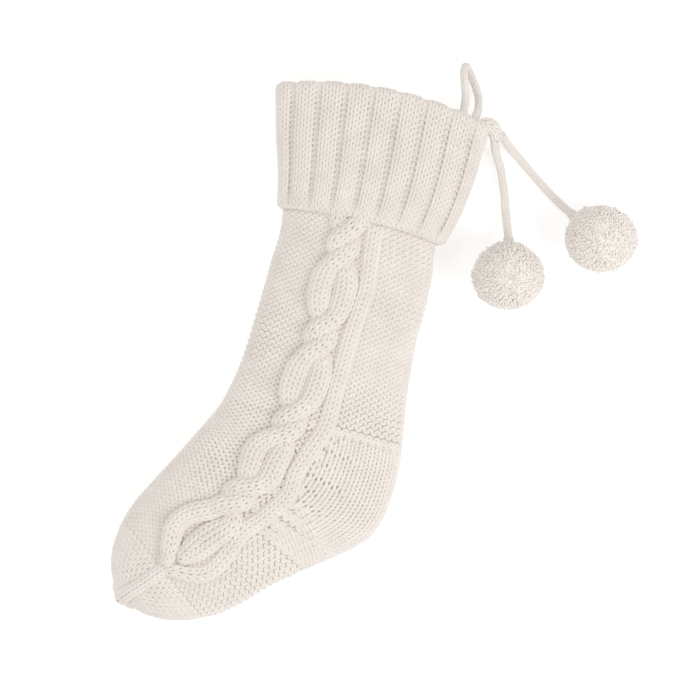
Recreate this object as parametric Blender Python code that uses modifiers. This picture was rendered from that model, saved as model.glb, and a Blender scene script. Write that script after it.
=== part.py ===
"""Knitted hanging stocking with a turned-over ribbed cuff, a rope cable, a hanging loop and two pompoms.

Metres. The stocking lies on its back: +Y runs up the leg to the mouth, +X points to the heel side, +Z is up,
off the front face. The origin is on the flat back of the leg.
"""
import math

import bmesh
import bpy
import numpy as np
from mathutils import Vector

MM = 0.001
WALL = 4.0 * MM            # one layer of chunky knitting
CORD_RADIUS = 4.0 * MM     # knitted cord of the loop and the pompom ties
LOOP_RADIUS = 3.9 * MM
POMPOM_RADIUS = 31.0 * MM
TIE_RADIUS = 1.1 * MM
GAP = 0.3 * MM             # clearance between pieces that touch
RING_POINTS = 36           # points round a fabric tube
ROUNDNESS = 0.8            # 1 is an ellipse, less is boxier
FLAT_SHARE = 0.8           # how far below its middle a tube reaches before the table flattens it

# Sections down the stocking: front edge, heel-side edge (mm in plan), height, bow towards the mouth, floor (mm).
SECTIONS = {
    "mouth": ((-98.4, 196), (87.0, 209), 33.4, 14, 4.9),
    "cuff_high": ((-88.3, 160), (85.4, 162), 36.4, 10, 4.9),
    "cuff_low": ((-77.3, 129), (77.4, 127), 39.4, 6, 4.9),
    "hem": ((-68.5, 96), (71.3, 97), 39.6, 4, 4.9),
    "calf": ((-65.5, 72), (75.0, 72), 43.0, 2, 0.8),
    "shin": ((-66.5, 45), (77.0, 45), 44.0, 0, 0.0),
    "mid_leg": ((-67.0, 10), (77.5, 4), 44.0, 0, 0.0),
    "low_leg": ((-69.0, -46), (81.5, -38), 45.0, 0, 0.0),
    "ankle": ((-75.0, -82), (89.0, -85), 46.0, 0, 0.0),
    "heel_top": ((-80.0, -97), (92.0, -116), 48.0, 0, 0.0),
    "heel_back": ((-86.0, -110), (88.5, -154), 50.0, 0, 0.0),
    "heel_turn": ((-92.0, -122), (74.0, -180), 50.0, 0, 0.0),
    "heel_end": ((-105.0, -148), (34.0, -213), 49.0, 0, 0.0),
    "arch": ((-117.0, -171), (5.0, -238), 48.0, 0, 0.0),
    "ball": ((-128.0, -193), (-22.0, -265), 46.0, 0, 0.0),
    "toe_start": ((-135.0, -214), (-46.0, -280), 43.0, 0, 0.0),
    "toe_mid": ((-137.5, -237), (-70.0, -288.5), 38.0, 0, 0.0),
    "toe_low": ((-135.0, -256), (-91.0, -290), 31.0, 0, 0.0),
    "toe_tip": ((-128.5, -271), (-106.5, -287), 21.0, 0, 0.0),
}
NAMES = list(SECTIONS)

# The turned-over cuff: same layout, lying outside the top of the leg.
CUFF_SECTIONS = {
    "fold": ((-104.2, 196), (93.0, 209), 44.4, 14, 0.0),
    "high": ((-94.4, 160), (91.6, 162), 47.4, 10, 0.0),
    "low": ((-84.0, 129), (87.0, 127), 50.4, 7, 0.0),
    "cuff_hem": ((-76.0, 98), (80.5, 103), 51.0, 6, 0.0),
}
CUFF_NAMES = list(CUFF_SECTIONS)


def clear_scene():
    for obj in list(bpy.data.objects):
        bpy.data.objects.remove(obj)


def make_collection(name, scene=bpy.context.scene):
    collection = bpy.data.collections.new(name)
    scene.collection.children.link(collection)
    return collection


def make_material(name, color, roughness=0.92):
    material = bpy.data.materials.new(name)
    material.use_nodes = True
    shader = material.node_tree.nodes["Principled BSDF"]
    shader.inputs["Base Color"].default_value = (*color, 1)
    shader.inputs["Roughness"].default_value = roughness
    shader.inputs["Metallic"].default_value = 0
    return material


def add_object(name, data, collection, material):
    obj = bpy.data.objects.new(name, data)
    obj.data.materials.append(material)
    collection.objects.link(obj)
    return obj


def smooth_between(rows, at):
    """A Catmull-Rom curve through rows of numbers, read at a place counted in rows."""
    rows = np.asarray(rows, float)
    i = int(min(max(math.floor(at), 0), len(rows) - 2))
    t = at - i
    a, b = rows[i], rows[i + 1]
    before = rows[i - 1] if i else 2 * a - b
    after = rows[i + 2] if i + 2 < len(rows) else 2 * b - a
    return 0.5 * (2 * a + (b - before) * t + (2 * before - 5 * a + 4 * b - after) * t * t
                  + (3 * a - before - 3 * b + after) * t ** 3)


def section_at(sections, at):
    rows = [(*front, *back, height, bow, floor) for front, back, height, bow, floor in sections.values()]
    fx, fy, bx, by, height, bow, floor = smooth_between(rows, at) * MM
    return np.array([fx, fy]), np.array([bx, by]), height, bow, max(floor, 0.0)


def on_section(section, side, up):
    """The point of a section at side, -1 front edge to 1 heel edge, and up, -1 to 1."""
    front, back, height, bow, floor = section
    half_width = (back - front) / 2
    across = np.array([-half_width[1], half_width[0]]) / np.linalg.norm(half_width)
    plan = (front + back) / 2 + half_width * side + across * bow * (1 - side * side)
    half_height = height / (1 + FLAT_SHARE)
    z = floor + (max(up, -FLAT_SHARE) + FLAT_SHARE) * half_height
    return np.array([plan[0], plan[1], z])


def ring(section, count, start=0.0, end=1.0):
    """Evenly spaced points round a section. 0 is the heel edge, then over the front face; 1 is a whole turn."""
    angles = np.linspace(0, 2 * math.pi, 361)
    side = np.sign(np.cos(angles)) * np.abs(np.cos(angles)) ** ROUNDNESS
    up = np.sign(np.sin(angles)) * np.abs(np.sin(angles)) ** ROUNDNESS
    points = np.array([on_section(section, s, u) for s, u in zip(side, up)])
    length = np.concatenate([[0], np.cumsum(np.linalg.norm(np.diff(points, axis=0), axis=1))])
    whole = end - start >= 1
    places = np.linspace(start, end, count, endpoint=not whole) % 1 * length[-1]
    return np.stack([np.interp(places, length, points[:, k]) for k in range(3)], axis=1)


def front_point(sections, at, side, lift=0.0):
    """A point on the front face, lifted straight up off it."""
    up = (1 - min(abs(side), 1) ** (2 / ROUNDNESS)) ** (ROUNDNESS / 2)
    return on_section(section_at(sections, at), side, up) + np.array([0, 0, lift])


def fabric(name, sections, first, last, collection, material, start=0.0, end=1.0, closed_end=False, steps=2):
    """A knitted wall lofted through sections first to last, WALL thick inwards."""
    whole = end - start >= 1
    count = RING_POINTS if whole else max(8, round(RING_POINTS * (end - start)) + 1)
    places = np.linspace(first, last, max(2, round((last - first) * steps) + 1))
    mesh = bmesh.new()
    rings = [[mesh.verts.new(p) for p in ring(section_at(sections, at), count, start, end)] for at in places]
    for low, high in zip(rings, rings[1:]):
        for k in range(count if whole else count - 1):
            mesh.faces.new((low[k], low[(k + 1) % count], high[(k + 1) % count], high[k]))
    if closed_end:
        tip = mesh.verts.new(sum((v.co for v in rings[-1]), Vector()) / count + Vector((-1, -1.6, 0)) * MM)
        for k in range(count):
            mesh.faces.new((rings[-1][k], rings[-1][(k + 1) % count], tip))
    data = bpy.data.meshes.new(name)
    mesh.to_mesh(data)
    mesh.free()
    data.shade_smooth()
    obj = add_object(name, data, collection, material)
    wall = obj.modifiers.new("wall", "SOLIDIFY")
    wall.thickness = WALL
    wall.offset = -1
    return obj


def read_curve(points, spacing):
    """Points a fixed distance apart along a smooth curve through the route's own points."""
    points = np.asarray(points, float)
    dense = np.array([smooth_between(points, at) for at in np.linspace(0, len(points) - 1, 40 * len(points))])
    length = np.concatenate([[0], np.cumsum(np.linalg.norm(np.diff(dense, axis=0), axis=1))])
    places = np.linspace(0, length[-1], max(4, round(length[-1] / spacing) + 1))
    return np.stack([np.interp(places, length, dense[:, k]) for k in range(3)], axis=1)


def tube(name, points, radius, collection, material, cyclic=False, flat=None, resolution=2):
    """A round tube on a poly spline, or with flat=(width, thickness) an oval band."""
    data = bpy.data.curves.new(name, "CURVE")
    data.dimensions = "3D"
    data.bevel_resolution = resolution
    data.use_fill_caps = not cyclic
    data.twist_mode = "Z_UP" if flat else "MINIMUM"
    if flat:
        outline = bpy.data.curves.new(name + "_outline", "CURVE")
        oval = outline.splines.new("POLY")
        sides = 10
        oval.points.add(sides - 1)
        for k, point in enumerate(oval.points):
            angle = -2 * math.pi * k / sides
            point.co = (flat[0] / 2 * math.cos(angle), flat[1] / 2 * math.sin(angle), 0, 1)
        oval.use_cyclic_u = True
        guide = bpy.data.objects.new(name + "_outline", outline)
        guide.hide_render = True
        guide.display_type = "WIRE"
        GUIDES.objects.link(guide)
        data.bevel_mode = "OBJECT"
        data.bevel_object = guide
    else:
        data.bevel_depth = radius
    spline = data.splines.new("POLY")
    spline.points.add(len(points) - 1)
    for point, place in zip(spline.points, points):
        point.co = (*place, 1)
    spline.use_cyclic_u = cyclic
    return add_object(name, data, collection, material)


clear_scene()
STOCKING = make_collection("hanging_stocking")
GUIDES = make_collection("guides")
WOOL = make_material("ground_wool", (0.79, 0.745, 0.69))
RIB_WOOL = make_material("rib_wool", (0.78, 0.73, 0.68))
HEEL_WOOL = make_material("heel_wool", (0.80, 0.75, 0.69))
CABLE_WOOL = make_material("cable_wool", (0.81, 0.76, 0.70))
CORD_WOOL = make_material("cord_wool", (0.79, 0.74, 0.68))
POMPOM_WOOL = make_material("pompom_wool", (0.79, 0.74, 0.69))
THREAD = make_material("sewing_thread", (0.74, 0.69, 0.63))

# ---- the knitted body: leg, heel, instep, foot and toe ----
ANKLE, HEEL_END, TOE_START = NAMES.index("ankle"), NAMES.index("heel_end"), NAMES.index("toe_start")
JOIN = 0.035               # gap between neighbouring tubes, in sections
HEEL_SHARE = 0.185         # how far round from the heel edge the heel reaches, each way
SIDE_JOIN = 0.001
fabric("leg_tube", SECTIONS, 0, ANKLE, STOCKING, WOOL)
fabric("heel_cup", SECTIONS, ANKLE + JOIN, HEEL_END, STOCKING, HEEL_WOOL, -HEEL_SHARE, HEEL_SHARE)
fabric("instep_panel", SECTIONS, ANKLE + JOIN, HEEL_END, STOCKING, WOOL,
       HEEL_SHARE + 2 * SIDE_JOIN, 1 - HEEL_SHARE - 2 * SIDE_JOIN)
fabric("foot_tube", SECTIONS, HEEL_END + JOIN, TOE_START, STOCKING, WOOL)
fabric("toe_cap", SECTIONS, TOE_START + JOIN, len(NAMES) - 1, STOCKING, HEEL_WOOL, closed_end=True)

# ---- the cuff: a ribbed outer layer, and the rounded fold that joins it to the top of the leg ----
fabric("cuff_turnover", CUFF_SECTIONS, 0, len(CUFF_NAMES) - 1, STOCKING, RIB_WOOL, steps=3)
FOLD_RADIUS = WALL + 0.35 * MM
FOLD_RISE = FOLD_RADIUS + 1.5 * MM
FOLD = ((-99.8, 196), (88.6, 209), 35.6, 14, 4.4)
fold_section = section_at({"start": FOLD, "end": FOLD}, 0)
fold_line = ring(fold_section, 48) + np.array([0, FOLD_RISE, 0])
tube("cuff_fold", fold_line, FOLD_RADIUS, STOCKING, RIB_WOOL, cyclic=True)

# ---- the rope cable and its border band, raised on the front face ----
# Where the middle of each runs, as a share of the half width, at every section from the hem to the toe tip.
ROPE_SIDE = (-0.13, -0.17, -0.16, -0.14, -0.18, -0.22, -0.26, -0.32, -0.24, -0.16, -0.10, -0.04, -0.04, -0.02, 0.0)
BAND_SIDE = (0.22, 0.19, 0.24, 0.20, 0.17, 0.19, 0.13, 0.05, 0.15, 0.27, 0.24, 0.25, 0.24, 0.20, 0.10)
HEM = NAMES.index("hem")
CROSSINGS = (13, 36, 97, 120, 180, 203, 263, 286)    # mm down the rope; strands swap sides at each
SWAP_LENGTH = 5.0          # mm, half the length of a swap
STRAND_WIDTH, STRAND_THICKNESS = 13.0 * MM, 4.4 * MM
STRAND_SPREAD, STRAND_MIDDLE = 11.5, -1.5             # mm, either side of the rope's middle
HIGH, LOW = 8.3, 2.9       # mm, centre of the strand in front and of the strand behind


def half_width(at):
    front, back = section_at(SECTIONS, at)[:2]
    return np.linalg.norm(back - front) / 2


def along_rope():
    """Sections and the distance in mm down the rope's middle at each."""
    places = np.linspace(HEM, len(NAMES) - 1, 400)
    middle = np.array([front_point(SECTIONS, at, smooth_between(np.array(ROPE_SIDE)[:, None], at - HEM)[0])
                       for at in places])
    length = np.concatenate([[0], np.cumsum(np.linalg.norm(np.diff(middle, axis=0), axis=1))])
    return places, length / MM


def band_points(sides, lateral, lift, first, last, spacing=6.5):
    """Points on the front face: sides gives the middle line, lateral and lift its offsets in mm."""
    places, length = along_rope()
    points = []
    for distance in np.linspace(first, last, round((last - first) / spacing) + 1):
        at = float(np.interp(distance, length, places))
        middle = smooth_between(np.array(sides)[:, None], at - HEM)[0]
        side = middle + lateral(distance) * MM / half_width(at)
        points.append(front_point(SECTIONS, at, side, lift(distance) * MM))
    return np.array(points)


def strand_side(distance, start):
    """start is 1 for the strand that begins on the heel side, -1 for the other."""
    swaps = math.prod(math.tanh((distance - crossing) / SWAP_LENGTH) for crossing in CROSSINGS)
    return STRAND_MIDDLE + STRAND_SPREAD * start * swaps


def strand_lift(distance, start):
    """The strand that moves away from the heel side passes in front, the other behind."""
    height = (HIGH + LOW) / 2
    for k, crossing in enumerate(CROSSINGS):
        reach = abs(distance - crossing)
        share = min(max((12.5 - reach) / 4.0, 0), 1)
        height += start * (-1) ** k * (HIGH - LOW) / 2 * share * share * (3 - 2 * share)
    return height


ROPE_START = 2.0
for name, start, end in (("cable_strand_right", 1, 308.0), ("cable_strand_left", -1, 346.0)):
    route = band_points(ROPE_SIDE, lambda d: strand_side(d, start), lambda d: strand_lift(d, start),
                        ROPE_START, end, spacing=6.0)
    tube(name, route, 0, STOCKING, CABLE_WOOL, flat=(STRAND_WIDTH, STRAND_THICKNESS))
band = band_points(BAND_SIDE, lambda d: 0.0, lambda d: 3.3, ROPE_START, 385.0, spacing=9.0)
tube("cable_border_band", band, 0, STOCKING, CABLE_WOOL, flat=(12.0 * MM, 5.0 * MM))

# ---- the hanging loop, its ends sewn inside the mouth ----
LOOP_ROUTE = ((65.0, 213.6, 20.0), (65.0, 224.0, 20.5), (63.5, 235.0, 23.0), (59.5, 246.0, 24.5),
              (56.5, 255.0, 22.0), (56.5, 261.0, 15.5), (59.0, 260.5, 8.5), (64.0, 254.5, 5.0),
              (70.5, 246.0, 4.6), (75.5, 237.0, 6.2), (77.5, 228.0, 11.5), (77.0, 220.0, 17.5), (76.0, 213.6, 20.0))
tube("hanging_loop", read_curve(np.array(LOOP_ROUTE) * MM, 5.0 * MM), LOOP_RADIUS, STOCKING, CORD_WOOL)


def knot(name, place, radii, material, segments=12):
    """A rounded lump of stitches or tufts."""
    mesh = bmesh.new()
    bmesh.ops.create_uvsphere(mesh, u_segments=segments, v_segments=segments // 2 + 2, radius=1)
    bmesh.ops.scale(mesh, vec=Vector(radii) * MM, verts=mesh.verts)
    bmesh.ops.translate(mesh, vec=Vector(place) * MM, verts=mesh.verts)
    data = bpy.data.meshes.new(name)
    mesh.to_mesh(data)
    mesh.free()
    data.shade_smooth()
    return add_object(name, data, STOCKING, material)


knot("loop_tack", (70.5, 207.8, 20.0), (9.5, 4.6, 4.2), THREAD)
knot("corner_knot", (97.4, 212.2, 18.0), (4.4, 6.0, 6.5), CORD_WOOL)

# ---- two pompoms on knitted cords, both tied to the corner of the cuff ----
CORD_ROUTES = {
    "left": (((98.6, 203.6, 15.5), (101.5, 196.5, 12.0), (105.5, 189.5, 7.5), (111.0, 181.0, 4.8), (115.5, 171.0, 4.3),
              (120.0, 160.5, 4.3), (123.5, 150.0, 4.3), (127.0, 140.0, 5.5), (131.2, 129.0, 10.5),
              (135.5, 116.6, 19.0)), (142.0, 88.0)),
    "right": (((103.4, 210.6, 15.5), (109.5, 205.0, 11.5), (116.0, 200.0, 7.0), (123.5, 195.0, 4.6), (135.0, 187.0, 4.3),
               (147.0, 179.0, 4.3), (159.0, 171.0, 4.6), (170.5, 164.0, 8.5), (179.5, 159.2, 14.0),
               (187.6, 155.2, 19.5)), (214.0, 142.0)),
}
for side, (route, centre) in CORD_ROUTES.items():
    middle = Vector((*centre, POMPOM_RADIUS / MM)) * MM
    end = Vector(route[-1]) * MM
    inward = (middle - end).normalized()
    end = middle - inward * (POMPOM_RADIUS + 3 * GAP)
    points = read_curve([*(np.array(route[:-1]) * MM), end], 9.0 * MM)
    tube(side + "_pompom_cord", points, CORD_RADIUS, STOCKING, CORD_WOOL)
    knot(side + "_pompom", middle / MM, (POMPOM_RADIUS / MM,) * 3, POMPOM_WOOL, segments=22)
    direction = (Vector(points[-1]) - Vector(points[-2])).normalized()
    place = Vector(points[-1]) - direction * 3.5 * MM
    turn = direction.to_track_quat("Z", "Y")
    reach = CORD_RADIUS + TIE_RADIUS + GAP
    turns = np.linspace(0, 2 * math.pi, 14, endpoint=False)
    ties = [place + turn @ Vector((reach * math.cos(a), reach * math.sin(a), 0)) for a in turns]
    tube(side + "_pompom_tie", ties, TIE_RADIUS, STOCKING, THREAD, cyclic=True)
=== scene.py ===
# %% [markdown]
# # A knitted hanging stocking
# The stocking is made of one ivory wool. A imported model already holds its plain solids: tubes for the
# leg, foot and cuff, bands for the cable, tubes for the cords and balls for the pompoms. This lesson
# knits the real surface round that frame, stitch by stitch, so that the fabric is real yarn with real
# gaps and not a picture of knitting.

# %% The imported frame
import math

import bpy
import numpy as np
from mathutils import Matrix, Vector


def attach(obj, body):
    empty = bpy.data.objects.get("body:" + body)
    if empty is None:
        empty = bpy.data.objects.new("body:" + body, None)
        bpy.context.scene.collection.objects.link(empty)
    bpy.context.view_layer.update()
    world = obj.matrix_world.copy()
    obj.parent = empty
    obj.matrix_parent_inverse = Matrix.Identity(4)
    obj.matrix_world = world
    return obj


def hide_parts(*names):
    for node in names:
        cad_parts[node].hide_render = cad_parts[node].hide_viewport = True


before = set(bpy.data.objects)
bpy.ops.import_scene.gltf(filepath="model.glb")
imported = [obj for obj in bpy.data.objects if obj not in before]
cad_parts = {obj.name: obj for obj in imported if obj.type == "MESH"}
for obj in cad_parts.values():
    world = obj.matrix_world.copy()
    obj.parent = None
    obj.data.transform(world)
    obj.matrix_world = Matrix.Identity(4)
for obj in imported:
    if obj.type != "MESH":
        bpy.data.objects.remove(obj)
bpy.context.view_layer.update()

MM = 0.001

# %% [markdown]
# ## Camera, light and table
# The stocking lies on a pale table and is looked at from straight above, turned a little, so that its leg
# leans. A long lens keeps the leg from spreading. Three large soft lights and a white world leave only
# gentle shade. One light is stronger and comes from the heel side, which lets each stitch cast a small
# warm shadow.

# %% Camera
VIEW_TURN = math.radians(15)
VIEW_WIDTH = 0.6084  # how much of the table is seen, in metres
LENS = 250.0
SENSOR = 36.0
SOCK_MIDDLE = (0.0088, -0.0051, 0.022)
bpy.ops.object.camera_add(
    location=(SOCK_MIDDLE[0], SOCK_MIDDLE[1], SOCK_MIDDLE[2] + VIEW_WIDTH * LENS / SENSOR),
    rotation=(0, 0, VIEW_TURN),
)
camera = bpy.context.object
camera.name = "view_camera"
camera.data.lens = LENS
camera.data.clip_end = 20
bpy.context.scene.camera = camera
print("camera height", round(camera.location.z, 3))

# %% Lights and table
TABLE_HEIGHT = -1.6 * MM  # a little below the solids, because the yarn stands out of them
ROOM_LIGHT = 0.62
LIGHTS = {  # place, size across in metres, and power in watts
    "key_light": ((1.5, -0.15, 1.35), 1.1, 14.0),
    "fill_light": ((-1.1, 0.9, 1.7), 1.8, 10.0),
    "foot_light": ((-0.2, -1.6, 1.6), 1.8, 7.0),
}
for name, (place, size, power) in LIGHTS.items():
    toward = -Vector(place)
    turned = toward.to_track_quat("-Z", "Y").to_euler()
    bpy.ops.object.light_add(type="AREA", location=place, rotation=turned)
    lamp = bpy.context.object
    lamp.name = name
    lamp.data.shape = "DISK"
    lamp.data.size = size
    lamp.data.energy = power
    lamp.data.color = (1.0, 0.99, 0.975)
world = bpy.data.worlds.new("soft_room")
bpy.context.scene.world = world
world.use_nodes = True
backdrop = world.node_tree.nodes["Background"]
backdrop.inputs["Color"].default_value = (1.0, 0.995, 0.985, 1)
backdrop.inputs["Strength"].default_value = ROOM_LIGHT
bpy.context.scene.view_settings.view_transform = "Standard"
bpy.ops.mesh.primitive_plane_add(size=6, location=(0, 0, TABLE_HEIGHT))
table = bpy.context.object
table.name = "pale_table"
print(len(LIGHTS), "lights, table at", table.location.z)

# %% [markdown]
# ## Wool
# Ivory wool is dull, a little warm, and soft at its edges, because loose fibres catch the light. So the
# shader is rough, has a weak sheen, and its colour wanders a little: between strands, and where the
# fibres lie closer. The maths is written as Python expressions on a small class that wraps a socket, and
# each value adds its nodes.


# %% Shader maths
class Graph:
    """Builds nodes in one material: node() adds any node, by its type, its settings and its sockets."""

    def __init__(self, material):
        material.use_nodes = True
        self.tree = material.node_tree
        self.shader = self.tree.nodes["Principled BSDF"]

    def node(self, kind, settings=(), **sockets):
        made = self.tree.nodes.new(kind)
        for key, value in dict(settings).items():
            setattr(made, key, value)
        for key, value in sockets.items():
            name = key.replace("_", " ")
            socket = made.inputs[int(key[1:])] if key[1:].isdigit() else made.inputs[name]
            self.feed(socket, value)
        return made

    def feed(self, socket, value):
        if isinstance(value, Value):
            self.tree.links.new(value.socket, socket)
        elif isinstance(value, bpy.types.NodeSocket):
            self.tree.links.new(value, socket)
        else:
            socket.default_value = value


class Value:
    """A number that varies over a surface; arithmetic on it adds Math nodes."""

    def __init__(self, graph, socket):
        self.graph = graph
        self.socket = socket

    def _math(self, operation, first, second):
        node = self.graph.node("ShaderNodeMath", {"operation": operation}, i0=first, i1=second)
        return Value(self.graph, node.outputs[0])

    def __add__(self, other):
        return self._math("ADD", self, other)

    def __mul__(self, other):
        return self._math("MULTIPLY", self, other)

    def __rsub__(self, other):
        return self._math("SUBTRACT", other, self)

    def __rmul__(self, other):
        return self._math("MULTIPLY", other, self)

    __radd__ = __add__


# %% Wool materials
PATCH_SCALE, TUFT_SCALE, FIBRE_SCALE = 45.0, 520.0, 1400.0
FELT_BUMP = 0.6 * MM
WOOL_FINISH = {
    "Roughness": 0.93,
    "Sheen Weight": 0.35,
    "Sheen Roughness": 0.55,
    "Sheen Tint": (1.0, 0.97, 0.93, 1),
    "Specular IOR Level": 0.25,
}


def noise(graph, scale, detail, place):
    made = graph.node("ShaderNodeTexNoise", Vector=place, Scale=scale, Detail=detail, Roughness=0.6)
    return Value(graph, made.outputs["Fac"])


def wool(name, light, dark, bump):
    """Ivory yarn. light and dark are its linear colours on proud and on matted fibres."""
    material = bpy.data.materials.new(name)
    graph = Graph(material)
    place = graph.node("ShaderNodeTexCoord").outputs["Object"]
    patches = noise(graph, PATCH_SCALE, 2.0, place)
    fibres = noise(graph, FIBRE_SCALE, 3.0, place)
    matted = patches * 0.45 + fibres * 0.55
    ramp = graph.node("ShaderNodeMapRange", i0=matted, i1=0.36, i2=0.64, i3=0.0, i4=1.0)
    color = graph.node("ShaderNodeMix", {"data_type": "RGBA"}, i0=ramp.outputs[0],
                       i6=(*dark, 1), i7=(*light, 1))
    graph.feed(graph.shader.inputs["Base Color"], color.outputs[2])
    height = fibres * 0.7 + noise(graph, TUFT_SCALE, 2.0, place) * 0.3
    rough = graph.node("ShaderNodeBump", Strength=bump, Distance=FELT_BUMP, Height=height)
    graph.feed(graph.shader.inputs["Normal"], rough.outputs[0])
    for socket, value in WOOL_FINISH.items():
        graph.shader.inputs[socket].default_value = value
    return material


WOOLS = (
    ("ground_wool", (0.895, 0.850, 0.810), (0.81, 0.755, 0.705), 0.35),
    ("rib_wool", (0.885, 0.840, 0.800), (0.80, 0.745, 0.695), 0.35),
    ("heel_wool", (0.895, 0.850, 0.810), (0.81, 0.755, 0.705), 0.35),
    ("cable_wool", (0.895, 0.850, 0.805), (0.81, 0.755, 0.70), 0.35),
    ("cord_wool", (0.885, 0.840, 0.805), (0.80, 0.75, 0.705), 0.35),
    ("pompom_wool", (0.93, 0.893, 0.855), (0.905, 0.861, 0.82), 0.1),
    ("sewing_thread", (0.86, 0.82, 0.78), (0.79, 0.74, 0.69), 0.35),
)
IVORY = {name: wool(name, light, dark, bump) for name, light, dark, bump in WOOLS}
table_finish = bpy.data.materials.new("table_finish")
table_shader = Graph(table_finish).shader
for socket, value in (("Base Color", (0.68, 0.68, 0.68, 1)), ("Emission Color", (1.0, 1.0, 1.0, 1)),
                      ("Emission Strength", 0.45), ("Roughness", 0.7)):
    table_shader.inputs[socket].default_value = value
table.data.materials.append(table_finish)
print("wools:", *IVORY)

# %% [markdown]
# ## A cloth to knit on
# Every knitted piece here is laid on a grid of points: one line of the grid for each millimetre or so
# down the piece, and columns across it or round it. A small class reads the grid at any place, and can
# lift a point off the surface. Smooth curves through a few listed points give the grids their shape.

# %% Smooth curves and the Cloth class
def smooth_between(rows, at):
    """A Catmull-Rom curve through rows of numbers, read at places counted in rows."""
    rows = np.asarray(rows, float).reshape(len(rows), -1)
    at = np.atleast_1d(np.asarray(at, float))
    i = np.clip(np.floor(at).astype(int), 0, len(rows) - 2)
    t = (at - i)[:, None]
    ends = np.vstack([2 * rows[0] - rows[1], rows, 2 * rows[-1] - rows[-2]])
    before, a, b, after = ends[i], ends[i + 1], ends[i + 2], ends[i + 3]
    return 0.5 * (2 * a + (b - before) * t + (2 * before - 5 * a + 4 * b - after) * t * t
                  + (3 * a - before - 3 * b + after) * t ** 3)


def unit(vectors):
    return vectors / (np.linalg.norm(vectors, axis=-1, keepdims=True) + 1e-12)


class Cloth:
    """A grid of points, read at any place: i down the piece and u, 0 to 1, across or round it."""

    def __init__(self, grid, closed):
        self.grid = grid
        self.closed = closed
        down = np.gradient(grid, axis=0)
        if closed:
            across = np.roll(grid, -1, 1) - np.roll(grid, 1, 1)
        else:
            across = np.gradient(grid, axis=1)
        self.out = unit(np.cross(across, down))

    def read(self, table, i, u):
        rows, columns = self.grid.shape[:2]
        i = np.clip(i, 0, rows - 1.0001)
        j = (u % 1) * columns if self.closed else np.clip(u, 0, 1) * (columns - 1.0001)
        a, b = np.floor(i).astype(int), np.floor(j).astype(int)
        s, t = (i - a), (j - b)
        after = (b + 1) % columns
        if table.ndim == 3:
            s, t = s[..., None], t[..., None]
        return ((table[a, b] * (1 - t) + table[a, after] * t) * (1 - s)
                + (table[a + 1, b] * (1 - t) + table[a + 1, after] * t) * s)

    def at(self, i, u, lift):
        return self.read(self.grid, i, u) + unit(self.read(self.out, i, u)) * lift[..., None]


# %% [markdown]
# ## One row of knitting
# Knitting is one yarn that runs round the tube in loops. Seen flat, the yarn leans back and forth as it
# rises and falls, and it dives through the fabric twice in every stitch. On the plain side the legs of
# each loop are in front and show as a V. On the purl side the heads and feet are in front and show as
# small bumps. Both are the same path with its depth turned over. It is a curve with a round bevel,
# because a curve keeps the yarn the same thickness all along, and it is then made a mesh.

# %% Stitch path
STITCH_POINTS = 10
PLAIN_LEAN = 0.24  # sideways swing of the yarn in widths of a stitch; more makes a wider V
PURL_LEAN = 0.185
RISE = 0.88  # how far a loop reaches into the rows above and below, in heights of a row
HEAD = 0.707  # share of the rise past which the yarn is the head of its loop
YARN = 1.75 * MM  # radius of the yarn
DEPTH = 1.25 * MM  # how far it dives in front of the fabric and behind it


def stitch_path(first, last, lean):
    """Stitch numbers from first to last, and the yarn's place, rise and depth at each point."""
    s = np.linspace(first, last, (last - first) * STITCH_POINTS + 1)
    return s, s + lean * np.sin(4 * math.pi * s), np.cos(2 * math.pi * s), np.cos(4 * math.pi * s)


def yarn_mesh(name, strands, radius, sides=1):
    """Strands are (points, closed) or (points, closed, shares of the radius); returns one mesh object."""
    data = bpy.data.curves.new(name + "_path", "CURVE")
    data.dimensions = "3D"
    data.bevel_depth = radius
    data.bevel_resolution = sides
    data.use_fill_caps = True
    for strand in strands:
        points, closed = strand[:2]
        spline = data.splines.new("POLY")
        spline.points.add(len(points) - 1)
        spline.points.foreach_set("co", np.c_[points, np.ones(len(points))].ravel())
        if len(strand) > 2:
            spline.points.foreach_set("radius", np.asarray(strand[2], float))
        spline.use_cyclic_u = closed
    path = bpy.data.objects.new(name + "_path", data)
    bpy.context.scene.collection.objects.link(path)
    evaluated = path.evaluated_get(bpy.context.evaluated_depsgraph_get())
    mesh = bpy.data.meshes.new_from_object(evaluated)
    mesh.name = name
    bpy.data.objects.remove(path)
    bpy.data.curves.remove(data)
    mesh.shade_smooth()
    made = bpy.data.objects.new(name, mesh)
    bpy.context.scene.collection.objects.link(made)
    return made


def finish_piece(piece, body, slot, nodes=()):
    """Gives a piece its wool, its body and the plain solids that it stands for."""
    piece.data.materials.clear()
    piece.data.materials.append(IVORY[slot])
    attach(piece, body)
    if nodes:
        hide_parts(*nodes)
    print(piece.name, sum(len(face.vertices) - 2 for face in piece.data.polygons), "triangles")


# %% A row on a cloth
def even(value):
    """A function of u that is the same all the way round."""
    return lambda u: value + 0 * np.asarray(u, float)


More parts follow.
